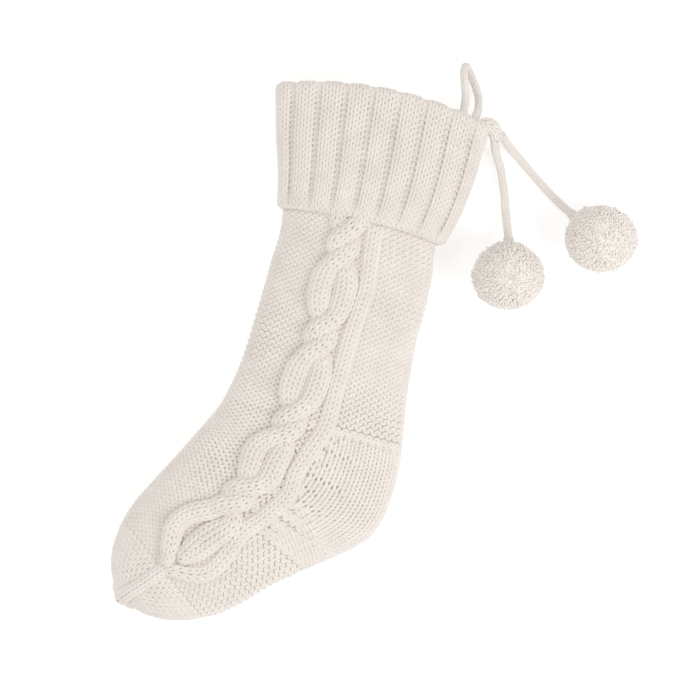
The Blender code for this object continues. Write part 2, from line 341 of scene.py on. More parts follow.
def lay_row(cloth, wales, centre, pitch, plain, lift, stitches=None, yarn_depth=DEPTH, start=0.0,
            swing=None):
    """One row as (label, strand) pairs, cut where the label changes.

    centre, the row's place, and pitch, its height, are functions of u in grid lines. plain gives a stitch's
    label, 1 for plain and 0 for purl. stitches is a range of stitch numbers, counted from u = start.
    """
    numbers = np.arange(wales) if stitches is None else np.arange(*stitches)
    middle = start + (numbers + 0.5) / wales
    labels = np.array([plain(c, m) for c, m in zip(centre(middle), middle)], int)
    cuts = [k for k in range(1, len(labels)) if labels[k] != labels[k - 1]]
    whole = cloth.closed and stitches is None and not cuts
    found = []
    for low, high in zip([0] + cuts, cuts + [len(labels)]):
        lean = swing or (PLAIN_LEAN if labels[low] else PURL_LEAN)
        s, across, rise, depth = stitch_path(int(numbers[low]), int(numbers[high - 1]) + 1, lean)
        u = start + across / wales
        i = centre(u) + RISE * pitch(u) * rise
        # A loop's head is held by the next row, so it lies in front or behind as that row's stitches do.
        held = np.array([plain(float(centre(h) + pitch(h)), h) for h in start + np.round(s) / wales])
        sign = np.where(np.where(rise > HEAD, held, labels[low]) == 1, -1.0, 1.0)
        points = cloth.at(i, u, lift(i, u) + sign * yarn_depth * depth)
        found.append((labels[low], (points[:-1] if whole else points, whole)))
    return found


def only(found, label):
    """The strands that have one label."""
    return [strand for kind, strand in found if kind == label]


def plain_rows(cloth, wales, pitch, yarn_depth, swing=None):
    """Rows of plain stitches from end to end of a cloth."""
    found = []
    count = int(len(cloth.grid) / pitch)
    for k in range(count):
        found += lay_row(cloth, wales, even((k + 0.5) * pitch), even(pitch), lambda i, u: 1,
                         lambda i, u: np.zeros(np.shape(i)), yarn_depth=yarn_depth, swing=swing)
    return only(found, 1)


# %% [markdown]
# ## The hanging loop and the two pompom cords
# The cords are knitted cords: five stitches round, which pull up into a limp tube as thick as a pencil.
# Here each round of stitches is a closed row. The loop stands up from the fold of the cuff, droops over
# and lies down on the table. The two other cords come out of the corner beside it and lie on the table,
# then rise to the middle of their pompoms. Each route is a smooth curve through listed points, and the
# tube of stitches is knitted on it. A strand inside fills the tube, as the yarn's own bulk does
# on the real cord.

# %% Cord routes, in millimetres
CORD_RADIUS = 4.0
LOOP_RADIUS = 3.9
POMPOM_RADIUS = 31.0
POMPOM_GAP = 0.9  # between the end of a cord and the ball
LOOP_ROUTE = ((65.0, 213.6, 20.0), (65.0, 224.0, 20.5), (63.5, 235.0, 23.0), (59.5, 246.0, 24.5),
              (56.5, 255.0, 22.0), (56.5, 261.0, 15.5), (59.0, 260.5, 8.5), (64.0, 254.5, 5.0),
              (70.5, 246.0, 4.6), (75.5, 237.0, 6.2), (77.5, 228.0, 11.5), (77.0, 220.0, 17.5),
              (76.0, 213.6, 20.0))
CORD_ROUTES = {  # the route of each cord, and the middle of its pompom in plan
    "left": (((98.6, 203.6, 15.5), (101.5, 196.5, 12.0), (105.5, 189.5, 7.5), (111.0, 181.0, 4.8),
              (115.5, 171.0, 4.3), (120.0, 160.5, 4.3), (123.5, 150.0, 4.3), (127.0, 140.0, 5.5),
              (131.2, 129.0, 10.5), (135.5, 116.6, 19.0)), (142.0, 88.0)),
    "right": (((103.4, 210.6, 15.5), (109.5, 205.0, 11.5), (116.0, 200.0, 7.0), (123.5, 195.0, 4.6),
               (135.0, 187.0, 4.3), (147.0, 179.0, 4.3), (159.0, 171.0, 4.6), (170.5, 164.0, 8.5),
               (179.5, 159.2, 14.0), (187.6, 155.2, 19.5)), (214.0, 142.0)),
}


def read_curve(points, spacing):
    """Points a fixed distance apart, in metres, along a smooth curve through points in millimetres."""
    points = np.asarray(points, float) * MM
    dense = smooth_between(points, np.linspace(0, len(points) - 1, 40 * len(points)))
    length = np.concatenate([[0], np.cumsum(np.linalg.norm(np.diff(dense, axis=0), axis=1))])
    places = np.linspace(0, length[-1], max(4, round(length[-1] / spacing) + 1))
    return np.stack([np.interp(places, length, dense[:, k]) for k in range(3)], axis=1)


# %% Knitting a cord
CORD_WALES = 5
CORD_PITCH = 4.3
CORD_YARN = 0.95 * MM
CORD_DEPTH = 0.3 * MM
CORD_FILLING = 0.92  # share of the tube's radius


def cord_cloth(line, radius, around=20):
    """A round tube of points along a line, turned as little as can be. radius may vary along it."""
    way = unit(np.gradient(line, axis=0))
    side = np.cross(way[0], (0, 0.3, 1.0))
    turn = np.linspace(0, 2 * math.pi, around, endpoint=False)[:, None]
    rings = []
    for forward in way:
        side = unit(side - forward * (side @ forward))
        rings.append(side * np.cos(turn) + np.cross(forward, side) * np.sin(turn))
    return Cloth(line[:, None] + radius * np.array(rings), closed=True)


def knitted_cord(name, line, radius):
    """A mesh cord whose outside is radius from its line."""
    tube_radius = radius - CORD_YARN - CORD_DEPTH
    strands = plain_rows(cord_cloth(line, tube_radius), CORD_WALES, CORD_PITCH, CORD_DEPTH)
    filling = line[::3]
    strands.append((filling, False, np.full(len(filling), tube_radius * CORD_FILLING / CORD_YARN)))
    return yarn_mesh(name, strands, CORD_YARN)


def length_of(line):
    return float(np.linalg.norm(np.diff(line, axis=0), axis=1).sum())


loop_line = read_curve(LOOP_ROUTE, 1 * MM)
loop_piece = knitted_cord("hanging_loop_knitting", loop_line, LOOP_RADIUS * MM)
finish_piece(loop_piece, "loop", "cord_wool", ["hanging_loop"])
print("loop", round(length_of(loop_line), 4), "m")

# %% [markdown]
# ## Pompoms and their ties
# A pompom is many short lengths of yarn tied at the middle and trimmed to a ball. Only the outer part of
# each length shows: a soft blunt end, leaning on its neighbours. So each end is a short strand that
# starts inside the ball and swerves a little on its way out, spread evenly by the golden angle and then
# nudged at random from a fixed seed. A ball inside stops light from coming through, and has a dent in
# front of the cord. Fine loose fibres soften the outline, and a few turns of thread bind each cord where
# it goes in.

# %% Tufts of a pompom
GOLDEN_TURN = math.pi * (3 - math.sqrt(5))
NUDGE = 0.022
TRIM = 0.3  # unevenness of the trimming, in mm
FLATTENING, ROUND_NEAR_CORD = 0.09, 0.25
FLAT_WAY = unit(np.array((0.26, -0.97, 0.0)))
LOWEST_TUFT = 0.6 * MM


def ball_directions(count, chance):
    """Directions spread evenly over a ball, each nudged a little."""
    share = (np.arange(count) + 0.5) / count
    up = 1 - 2 * share
    flat = np.sqrt(1 - up * up)
    turn = GOLDEN_TURN * np.arange(count)
    even_spread = np.stack([flat * np.cos(turn), flat * np.sin(turn), up], axis=1)
    return unit(even_spread + chance.normal(0, NUDGE, (count, 3)))


def flattening(directions, entry):
    """The ball's radius as a share: it is a little flat along one way, but not where the cord goes in."""
    away = np.clip((1 - directions @ entry) / ROUND_NEAR_CORD, 0, 1)
    return 1 - FLATTENING * (directions @ FLAT_WAY) ** 2 * away


def ball_strands(middle, reaches, spread, shares, count, chance, entry, bare):
    """Short strands out of a ball.

    reaches and spread are in mm at each point of a strand, and shares are of the yarn's radius. No strand
    grows where the cosine of its angle from the cord is over bare.
    """
    found = []
    for direction in ball_directions(count, chance):
        if direction @ entry > bare:
            continue
        swerve = chance.normal(0, 1, 3)
        trimmed = chance.normal(0, TRIM)
        flat = flattening(direction, entry)
        points = np.array([middle + (direction * flat * (reach + trimmed * (k > 1)) + swerve * aside) * MM
                           for k, (reach, aside) in enumerate(zip(reaches, spread))])
        points[:, 2] = np.maximum(points[:, 2], LOWEST_TUFT)
        found.append((points, False, shares))
    return found


# %% Making a pompom
TUFTS, TUFT_YARN, TUFT_BARE = 4200, 1.1 * MM, 0.978
TUFT_REACHES, TUFT_SPREAD, TUFT_SHARES = (26, 29, 30.9, 31.7), (0, 0.3, 0.6, 0.8), (0.9, 1.0, 1.1, 0.85)
FIBRES, FIBRE_YARN, FIBRE_BARE = 500, 1.25 * MM, 0.93
FIBRE_REACHES, FIBRE_SPREAD, FIBRE_SHARES = (27, 30.5, 33.0), (0, 1.2, 2.4), (0.13, 0.11, 0.05)
HEART = 30.6  # radius of the ball inside, in mm
CORD_DENT = 2.6  # depth of its dent in front of the cord
DENT_EDGE, DENT_SLOPE = 0.88, 0.08


def pompom(side, middle, entry, seed):
    """A ball of tufts; entry points from its middle to its cord. Returns the piece of tufts."""
    chance = np.random.default_rng(seed)
    tufts = ball_strands(middle, TUFT_REACHES, TUFT_SPREAD, TUFT_SHARES, TUFTS, chance, entry, TUFT_BARE)
    fibres = ball_strands(middle, FIBRE_REACHES, FIBRE_SPREAD, FIBRE_SHARES, FIBRES, chance, entry,
                          FIBRE_BARE)
    ball = yarn_mesh(side + "_pompom_tufts", tufts, TUFT_YARN, sides=0)
    finish_piece(ball, side + "_ball", "pompom_wool", [side + "_pompom"])
    loose = yarn_mesh(side + "_pompom_fibres", fibres, FIBRE_YARN, sides=0)
    finish_piece(loose, side + "_ball", "pompom_wool")
    bpy.ops.object.select_all(action="DESELECT")
    bpy.ops.mesh.primitive_ico_sphere_add(subdivisions=4, radius=HEART * MM, location=middle)
    heart = bpy.context.object
    heart.name = side + "_pompom_heart"
    bpy.ops.object.transform_apply(location=True, rotation=True, scale=True)
    for vertex in heart.data.vertices:
        way = np.array(vertex.normal)
        dent = CORD_DENT * float(np.clip((way @ entry - DENT_EDGE) / DENT_SLOPE, 0, 1))
        vertex.co = middle + way * (HEART * flattening(way, entry) - dent + chance.normal(0, TRIM)) * MM
    bpy.ops.object.shade_smooth()
    finish_piece(heart, side + "_ball", "pompom_wool")
    return ball


# %% Cords with their ties
TIE_TURNS = 4
TIE_THREAD = 0.85 * MM
TIE_PITCH = 1.5 * MM
TIE_BACK = 3.5 * MM  # how far before its end the cord is bound
FIRST_SEED = 11


def thread_round(place, forward, radius, pitch, turns):
    """A helix of thread round a cord."""
    turn = np.linspace(0, 2 * math.pi * turns, 16 * turns + 1)[:, None]
    side = unit(np.cross(forward, (0, 0, 1.0)))
    along = (turn / (2 * math.pi) - turns / 2) * pitch
    return place + radius * (side * np.cos(turn) + np.cross(forward, side) * np.sin(turn)) + forward * along


for seed, (side, (route, centre)) in enumerate(CORD_ROUTES.items(), start=FIRST_SEED):
    middle = np.array([*centre, POMPOM_RADIUS]) * MM
    inward = unit(middle - np.array(route[-1]) * MM)
    end = middle / MM - inward * (POMPOM_RADIUS + POMPOM_GAP)
    line = read_curve([*route[:-1], end], 1 * MM)
    cord_piece = knitted_cord(side + "_pompom_cord_knitting", line, CORD_RADIUS * MM)
    finish_piece(cord_piece, side + "_cord", "cord_wool", [side + "_pompom_cord"])
    forward = unit(line[-1] - line[-6])
    binding = thread_round(line[-1] - forward * TIE_BACK, forward, CORD_RADIUS * MM, TIE_PITCH, TIE_TURNS)
    tie_piece = yarn_mesh(side + "_pompom_tie_thread", [(binding, False)], TIE_THREAD)
    finish_piece(tie_piece, side + "_cord", "sewing_thread", [side + "_pompom_tie"])
    ball = pompom(side, middle, -inward, seed)
    print(side, "cord", round(length_of(line), 4), "m")

# %% [markdown]
# ## The shape that the fabric follows
# A stocking is a tube, so it is described by sections: the front edge and the heel-side edge in plan, a
# height, a bow towards the mouth and the height of its underside. Each section is a rounded oval, flat
# where it rests. A smooth curve through the sections gives the tube between them. It is kept as a grid of
# points, one line of the grid for each place down the stocking, and one for each place round it, and yarn
# is laid at any place on the grid.

# %% Sections, in millimetres
ROUNDNESS = 0.8  # under 1 makes an oval squarer
FLAT_SHARE = 0.8  # how far down an oval reaches before it is cut off flat
SOCK_SECTIONS = (  # front edge x, y, heel-side edge x, y, height, bow, underside
    (-98.4, 196, 87.0, 209, 33.4, 14, 4.9),
    (-88.3, 160, 85.4, 162, 36.4, 10, 4.9),
    (-77.3, 129, 77.4, 127, 39.4, 6, 4.9),
    (-68.5, 96, 71.3, 97, 39.6, 4, 4.9),
    (-65.5, 72, 75.0, 72, 43.0, 2, 0.8),
    (-66.5, 45, 77.0, 45, 44.0, 0, 0.0),
    (-67.0, 10, 77.5, 4, 44.0, 0, 0.0),
    (-69.0, -46, 81.5, -38, 45.0, 0, 0.0),
    (-75.0, -82, 89.0, -85, 46.0, 0, 0.0),
    (-80.0, -97, 92.0, -116, 48.0, 0, 0.0),
    (-86.0, -110, 88.5, -154, 50.0, 0, 0.0),
    (-92.0, -122, 74.0, -180, 50.0, 0, 0.0),
    (-105.0, -148, 34.0, -213, 49.0, 0, 0.0),
    (-117.0, -171, 5.0, -238, 48.0, 0, 0.0),
    (-128.0, -193, -22.0, -265, 46.0, 0, 0.0),
    (-135.0, -214, -46.0, -280, 43.0, 0, 0.0),
    (-137.5, -237, -70.0, -288.5, 38.0, 0, 0.0),
    (-135.0, -256, -91.0, -290, 31.0, 0, 0.0),
    (-128.5, -271, -106.5, -287, 21.0, 0, 0.0),
)
CUFF_SECTIONS = (
    (-104.2, 196, 93.0, 209, 44.4, 14, 0.0),
    (-94.4, 160, 91.6, 162, 47.4, 10, 0.0),
    (-84.0, 129, 87.0, 127, 50.4, 7, 0.0),
    (-76.0, 98, 80.5, 103, 51.0, 6, 0.0),
)
HEM, MID_LEG, ANKLE, HEEL_END, TOE_START, TOE_TIP = 3, 6, 8, 12, 15, 18


# %% From sections to a grid
def on_sections(sections, at, side, up):
    """Points at places at, side -1 front edge to 1 heel edge, up -1 to 1; arrays that broadcast."""
    values = smooth_between(sections, np.ravel(at)).T.reshape(7, *np.shape(at)) * MM
    fx, fy, bx, by, height, bow, floor = values
    half = np.stack([(bx - fx) / 2, (by - fy) / 2], -1)
    across = np.stack([-half[..., 1], half[..., 0]], -1) / np.linalg.norm(half, axis=-1, keepdims=True)
    middle = np.stack([(bx + fx) / 2, (by + fy) / 2], -1)
    plan = middle + half * side[..., None] + across * (bow * (1 - side * side))[..., None]
    z = np.maximum(floor, 0) + (np.maximum(up, -FLAT_SHARE) + FLAT_SHARE) * height / (1 + FLAT_SHARE)
    return np.concatenate([plan, z[..., None]], -1)


def tube_grid(sections, places, around=288):
    """Rings of evenly spaced points. Column 0 is the heel edge, then over the front face."""
    angles = np.linspace(0, 2 * math.pi, 721)
    side = np.sign(np.cos(angles)) * np.abs(np.cos(angles)) ** ROUNDNESS
    up = np.sign(np.sin(angles)) * np.abs(np.sin(angles)) ** ROUNDNESS
    at = np.repeat(np.asarray(places)[:, None], len(angles), 1)
    dense = on_sections(sections, at, np.broadcast_to(side, at.shape), np.broadcast_to(up, at.shape))
    steps = np.linalg.norm(np.diff(dense, axis=1), axis=2)
    length = np.concatenate([np.zeros((len(at), 1)), np.cumsum(steps, axis=1)], axis=1)
    share = np.linspace(0, 1, around, endpoint=False)
    return np.array([[np.interp(share * row[-1], row, line[:, k]) for k in range(3)]
                     for row, line in zip(length, dense)]).transpose(0, 2, 1)


GRID_PITCH = 1.0 * MM  # mean distance between lines of a grid, so rows keep their height


def even_places(sections, last):
    """Places in sections whose rings are GRID_PITCH apart on average, and the line number of any place."""
    coarse = np.linspace(0, last, last * 8 + 1)
    rings = tube_grid(sections, coarse, around=48)
    steps = np.linalg.norm(np.diff(rings, axis=0), axis=2).mean(axis=1)
    length = np.concatenate([[0], np.cumsum(steps)]) / GRID_PITCH
    lines = np.arange(0, length[-1])
    return np.interp(lines, length, coarse), lambda place: float(np.interp(place, coarse, length))


TIP_RADIUS = 8.0 * MM
TIP_TURNS = np.radians(np.linspace(8, 86, 10))
sock_places, sock_line = even_places(SOCK_SECTIONS, TOE_TIP)
sock_rings = tube_grid(SOCK_SECTIONS, sock_places)
tip_middle = sock_rings[-1].mean(axis=0)
tip_way = unit(tip_middle - sock_rings[-6].mean(axis=0))
tip_rings = [tip_middle + (sock_rings[-1] - tip_middle) * math.cos(turn)
             + tip_way * TIP_RADIUS * math.sin(turn) for turn in TIP_TURNS]
sock = Cloth(np.concatenate([sock_rings, tip_rings]), closed=True)
print("sock grid", sock.grid.shape, "leg lines", round(sock_line(HEM)), "to", round(sock_line(ANKLE)))

# %% [markdown]
# ## Rows on a tube
# Rows follow the grid. At the ankle the heel side is twice as long as the front, so extra short rows are
# knitted there, which only run round the heel. A label for each stitch says whether it is purl ground or
# plain heel, and a row is cut where the label changes, so that each part of the stocking is its own
# piece. Purl and plain rows pull apart a little where they meet, so two strands run under that line.

# %% Laying rows
SOCK_WALES = 50
BASE_LIFT = -1.6 * MM
SHORT_REACHES = (13, 9, 11, 7)  # stitches from the heel edge to where successive short rows turn back
SHORT_SLACK, SHORT_EASE = 0.02, 0.06


def in_polygon(x, y, corners):
    inside = False
    for (ax, ay), (bx, by) in zip(corners, corners[1:] + corners[:1]):
        if (ay > y) != (by > y) and x < (bx - ax) * (y - ay) / (by - ay) + ax:
            inside = not inside
    return inside


HEEL_PLAN = [(31, -91), (130, -91), (130, -175), (53, -204), (12, -153), (20, -120)]


def heel_label(i, u):
    """1 inside the plain heel, seen in plan, and at the toe; 0 elsewhere."""
    if i > sock_line(TOE_START):
        return 1
    x, y = sock.read(sock.grid, np.array(i), np.array(u))[:2] / MM
    return int(in_polygon(x, y, HEEL_PLAN))


def flat_lift(i, u):
    return BASE_LIFT + 0 * np.asarray(i, float)


def tube_rows(first, last, pitch, plain, short_rows=False):
    """Rows pitch lines apart between two lines; short rows lie half way between, round the heel side."""
    count = round((last - first) / pitch)
    pitch = (last - first) / count
    found = []
    for k in range(count):
        centre = first + (k + 0.5) * pitch
        if not short_rows:
            found += lay_row(sock, SOCK_WALES, even(centre), even(pitch), plain, flat_lift)
            continue
        stitches = SHORT_REACHES[k % len(SHORT_REACHES)]

        def share(u, reach=stitches / SOCK_WALES):
            turned = np.abs((np.asarray(u, float) + 0.5) % 1 - 0.5)
            return np.clip((reach + SHORT_SLACK - turned) / SHORT_EASE, 0, 1)

        found += lay_row(sock, SOCK_WALES, lambda u, c=centre: c - 0.25 * pitch * share(u),
                         lambda u: pitch * (1 - 0.5 * share(u)), plain, flat_lift)
        found += lay_row(sock, SOCK_WALES, even(centre + 0.25 * pitch), even(pitch * 0.5), plain, flat_lift,
                         stitches=(-stitches, stitches))
    return found


# %% The strands under a join
JOIN_DEPTH = 2.2 * MM
JOIN_POINTS = 160
JOIN_ASIDE = 0.9  # each strand's distance from the join, in lines
JOIN_SHARE = 0.9  # of the yarn's radius


def under_join(line, first, last):
    """Two strands under the line where purl rows meet plain ones, so that no gap shows through."""
    u = np.linspace(first, last, JOIN_POINTS)
    depth = np.full(JOIN_POINTS, -JOIN_DEPTH)
    shares = np.full(JOIN_POINTS, JOIN_SHARE)
    return [(1, (sock.at(np.full(JOIN_POINTS, line + aside), u, depth), False, shares))
            for aside in (-JOIN_ASIDE, JOIN_ASIDE)]


# %% Leg, ankle, heel and foot
LEG_TOP = sock_line(HEM) - 14  # the leg's first rows are hidden under the cuff
ROW_PITCH, HEEL_PITCH = 5.0, 5.9
HEEL_REACH = 0.17  # of the way round, from the heel edge to each end of the heel's join
leg_upper = tube_rows(LEG_TOP, sock_line(MID_LEG), ROW_PITCH, heel_label)
leg_lower = tube_rows(sock_line(MID_LEG), sock_line(ANKLE), ROW_PITCH, heel_label)
ankle = tube_rows(sock_line(ANKLE), sock_line(HEEL_END), HEEL_PITCH, heel_label, short_rows=True)
ankle += under_join(sock_line(ANKLE), -HEEL_REACH, HEEL_REACH)
foot = tube_rows(sock_line(HEEL_END), sock_line(TOE_START), ROW_PITCH, heel_label)
for name, strands, slot, nodes in (
    ("leg_knitting_upper", only(leg_upper, 0), "ground_wool", ["leg_tube"]),
    ("leg_knitting_lower", only(leg_lower, 0), "ground_wool", []),
    ("instep_knitting", only(ankle, 0), "ground_wool", ["instep_panel"]),
    ("heel_knitting", only(leg_lower + ankle + foot, 1), "heel_wool", ["heel_cup"]),
    ("foot_knitting", only(foot, 0), "ground_wool", ["foot_tube"]),
):
    finish_piece(yarn_mesh(name, strands, YARN), "stocking", slot, nodes)

# %% [markdown]
# ## The toe
# The toe is plain knitting that narrows. Stitches keep their width, so each row holds fewer of them, and
# the wales run in from both edges and are lost at a line down the middle of the front and another under
# the foot. A narrow band of stitches covers each line, as two stitches knitted together do on a real toe.
# All the bands on this stocking, here and in the cable, are made the same way: a narrow arched strip
# along a route, with its edges turned under, knitted with plain rows.

# %% Toe rows
TOE_WALE = 5.5 * MM
TOE_PITCH = 4.7
FIRST_TOE_ROW = 0.4  # of a row past the line where the toe starts
TIP_SHARE = 1.25  # of the yarn's radius, for the strands drawn over the tip
TIP_POINTS = 16
LOWEST_YARN = YARN - 1.4 * MM  # the middle of a strand that rests on the table
toe_line = sock_line(TOE_START)
toe_rows = []
for k in range(round((len(sock.grid) - 2 - toe_line) / TOE_PITCH)):
    line = toe_line + (k + FIRST_TOE_ROW) * TOE_PITCH
    ring = sock.grid[int(min(line, len(sock.grid) - 1))]
    girth = np.linalg.norm(ring - np.roll(ring, 1, 0), axis=1).sum()
    wales = max(girth / TOE_WALE, 4.0)
    quarter = max(1, round(wales / 4 + 0.15))
    for start in (0.0, 0.5):
        toe_rows += lay_row(sock, wales, even(line), even(TOE_PITCH), lambda i, u: 1, flat_lift,
                            stitches=(-quarter, quarter), start=start)
toe_rows += under_join(toe_line, 0.0, 1.0)
# The last stitches are drawn shut over the tip.
for back in (2, 4):
    ring = sock.grid[-back] - sock.out[-back] * MM
    drawn = np.linspace(ring[0], ring[len(ring) // 2], TIP_POINTS)
    toe_rows.append((1, (drawn, False, np.full(TIP_POINTS, TIP_SHARE))))
for _, strand in toe_rows:
    strand[0][:, 2] = np.maximum(strand[0][:, 2], LOWEST_YARN)
finish_piece(yarn_mesh("toe_knitting", only(toe_rows, 1), YARN), "stocking", "heel_wool", ["toe_cap"])


# %% A strip along a route
STRIP_TURNS = np.radians(np.linspace(-105, 105, 25))


def strip_cloth(route, ups, width, height):
    """An arched strip, its edges turned under, width and height in metres; ups point off the fabric."""
    way = unit(np.gradient(route, axis=0))
    right = unit(np.cross(way, ups))
    up = unit(np.cross(right, way))
    width = np.broadcast_to(width, len(route))[:, None, None]
    height = np.broadcast_to(height, len(route))[:, None, None]
    grid = (route[:, None] + right[:, None] * np.sin(STRIP_TURNS)[None, :, None] * width / 2
            + up[:, None] * np.cos(STRIP_TURNS)[None, :, None] * height)
    return Cloth(grid, closed=False)


# %% Toe bands
BAND_YARN = 1.6 * MM
TOE_BAND_WIDTH, TOE_BAND_WALES, TOE_BAND_DEPTH = 10.0 * MM, 3, 0.9 * MM
TOE_BANDS = (  # place round the toe, height of the arch and how far it is sunk, in mm
    ("toe_front_band", 0.25, 3.0, 0.6),
    ("toe_under_band", 0.75, 0.4, 2.4),
)
for name, u, arch, sunk in TOE_BANDS:
    lines = np.arange(toe_line - 6, len(sock.grid) - 1.5)
    middle = sock.at(lines, np.full(len(lines), u), np.full(len(lines), -sunk * MM))
    ups = sock.read(sock.out, lines, np.full(len(lines), u))
    band = strip_cloth(middle, ups, TOE_BAND_WIDTH, arch * MM)
    strands = plain_rows(band, TOE_BAND_WALES, TOE_PITCH, TOE_BAND_DEPTH)
    strands.append((middle + ups * 0.2 * MM, False, np.full(len(lines), 1.3)))  # fills the arch
    finish_piece(yarn_mesh(name, strands, BAND_YARN), "stocking", "heel_wool")

# %% [markdown]
# ## The ribbed cuff
# The cuff is knitted on from the leg, folded over outwards, and ends in a rolled edge. Three plain wales
# stand up and one purl wale sinks, all the way round, which makes soft ribs with deep dark grooves. The
# grid for it is one sheet: up the inside of the mouth, over the fold, down the outside and round the
# rolled hem.

# %% Cuff grid
FOLD_BEND = 4.4 * MM
HEM_BEND = 2.6 * MM
CUFF_SINK = 2.6 * MM
INNER_DEPTH = 42  # lines of the cuff that are turned in at the mouth
FOLD_TURNS = np.linspace(math.pi, 0, 15)[:-1]
HEM_TURNS = np.linspace(0, 2.6, 8)[1:]
cuff_places = even_places(CUFF_SECTIONS, len(CUFF_SECTIONS) - 1)[0]
outside = Cloth(tube_grid(CUFF_SECTIONS, cuff_places, around=576), closed=True)
middle_face = outside.grid - outside.out * CUFF_SINK


def bend(ring, out, way, radius, turns):
    return [ring - out * radius * (1 - math.cos(turn)) + way * radius * math.sin(turn) for turn in turns]


up_way = unit(middle_face[0] - middle_face[2])
down_way = unit(middle_face[-1] - middle_face[-3])
inside = [middle_face[d] - outside.out[d] * 2 * FOLD_BEND for d in range(INNER_DEPTH, 0, -1)]
fold = bend(middle_face[0], outside.out[0], up_way, FOLD_BEND, FOLD_TURNS)
hem = bend(middle_face[-1], outside.out[-1], down_way, HEM_BEND, HEM_TURNS)
cuff = Cloth(np.array([*inside, *fold, *middle_face, *hem]), closed=True)
FOLD_LINE, OUTER_LINE = len(inside), len(inside) + len(fold)
HEM_LINE = OUTER_LINE + len(middle_face)
print("cuff grid", cuff.grid.shape, "ribs over", HEM_LINE - OUTER_LINE, "lines")

# %% Cuff rows
RIBS = 18
WALES_IN_RIB = 4
CUFF_WALES = RIBS * WALES_IN_RIB
GROOVE_DEPTH = 4.4 * MM
RIB_START = 0.006
RIB_MIDDLE = 1.5  # the middle of a rib's three plain wales, in stitches
ROLL_ROWS = 7.0  # lines over which the ribs fade into the rolled hem
FOLD_DEPTH = 0.35  # share of the groove's depth that is left over the fold
FOLD_REACH, FOLD_EASE = 4, 22.0  # lines at that depth to each side of the fold, and to the full depth
PURL_EDGE, PURL_EASE = 0.70, 0.16
CUFF_LIFT, CUFF_DEPTH = 0.6 * MM, 1.1 * MM
CUFF_PITCH = 5.1
CUFF_YARN = 1.62 * MM


def cuff_row(line):
    """A closed row; each rib is three plain wales and a sunk purl one, and the last rows roll smooth."""
    s, across, rise, depth = stitch_path(0, CUFF_WALES, PLAIN_LEAN)
    u = RIB_START + across / CUFF_WALES
    from_middle = np.abs(s % WALES_IN_RIB - RIB_MIDDLE)
    from_middle = np.minimum(from_middle, WALES_IN_RIB - from_middle) / 2
    rolled = np.clip((HEM_LINE - 1 - line) / ROLL_ROWS, 0, 1)
    from_fold = abs(line - OUTER_LINE + len(fold) / 2)
    folded = FOLD_DEPTH + (1 - FOLD_DEPTH) * np.clip((from_fold - FOLD_REACH) / FOLD_EASE, 0, 1)
    sunk = np.clip((from_middle - PURL_EDGE) / PURL_EASE, 0, 1)
    purl = -1 + 2 * sunk * rolled
    lift = -GROOVE_DEPTH * from_middle ** 3 * rolled * folded + CUFF_LIFT + purl * CUFF_DEPTH * depth
    points = cuff.at(line + RISE * CUFF_PITCH * rise, u, lift)
    return points[:-1], True


cuff_lines = np.arange(3.0, len(cuff.grid) - 2.0, CUFF_PITCH)
outer_rows = [cuff_row(line) for line in cuff_lines if line >= FOLD_LINE + 5]
inner_rows = [cuff_row(line) for line in cuff_lines if line < FOLD_LINE + 5]
half = len(outer_rows) // 2
for name, rows, nodes in (
    ("cuff_knitting_upper", outer_rows[:half], ["cuff_fold"]),
    ("cuff_knitting_lower", outer_rows[half:], ["cuff_turnover"]),
    ("mouth_knitting", inner_rows, []),
):
    finish_piece(yarn_mesh(name, rows, CUFF_YARN), "stocking", "rib_wool", nodes)

# %% [markdown]
# ## The rope cable
# Two strands of four plain wales swap sides in pairs of crossings with a long open stretch between. The
# strand that comes from the heel side always passes in front. In the last open stretch one strand bulges
# towards the front edge, and the other is a leaf that ends in a point. Beside them a plain band runs the
# whole way to the toe. Each is a narrow arched strip with its own grid, laid on the front of the
# stocking, and knitted like the rest.

# %% Cable routes
# In each table the first row is the distance run from the hem in mm, and the second is the side: -1 is
# the front edge of the stocking and 1 its heel edge.
ROPE_SIDE = ((-10, 26, 55, 93, 143, 184, 206, 229, 248, 284, 314, 380),
             (-0.13, -0.17, -0.16, -0.14, -0.18, -0.22, -0.26, -0.32, -0.24, -0.16, -0.10, -0.04))
BAND_SIDE = ((-10, 26, 55, 93, 143, 184, 206, 229, 248, 284, 299, 314, 333, 348, 358, 368, 380),
             (0.22, 0.19, 0.24, 0.20, 0.17, 0.155, 0.06, 0.01, 0.12, 0.20, 0.19, 0.29, 0.40, 0.39,
              0.25, 0.0, -0.05))
LOBE_SIDE = ((280, 300, 314, 332, 345, 358, 370), (-0.12, -0.22, -0.36, -0.41, -0.32, -0.11, -0.02))
LEAF_SIDE = ((280, 296, 314, 356), (0.05, 0.06, 0.03, 0.02))
STRIP_TOP, LEAF_END, LOBE_END, BAND_END = -10.0, 356.0, 368.0, 372.0
EASE = 8  # how far a corner is rounded to each side
HEM_TUCK, TUCK_START, TUCK_LENGTH = 5.5, 7, 11  # how the strips dip to come out from under the hem


def front_point(at, side, lift):
    up = (1 - np.minimum(np.abs(side), 1) ** (2 / ROUNDNESS)) ** (ROUNDNESS / 2)
    points = on_sections(SOCK_SECTIONS, at, side, up)
    points[..., 2] += lift
    return points


def half_width(at):
    fx, fy, bx, by = smooth_between(SOCK_SECTIONS, at).T[:4] * MM
    return np.hypot(bx - fx, by - fy) / 2


def eased(table, run):
    """Values read from a table, with rounded corners; run goes up a millimetre at a time."""
    longer = np.arange(-EASE, len(run) + EASE) + run[0]
    return np.convolve(np.interp(longer, *table), np.ones(2 * EASE + 1) / (2 * EASE + 1), "valid")


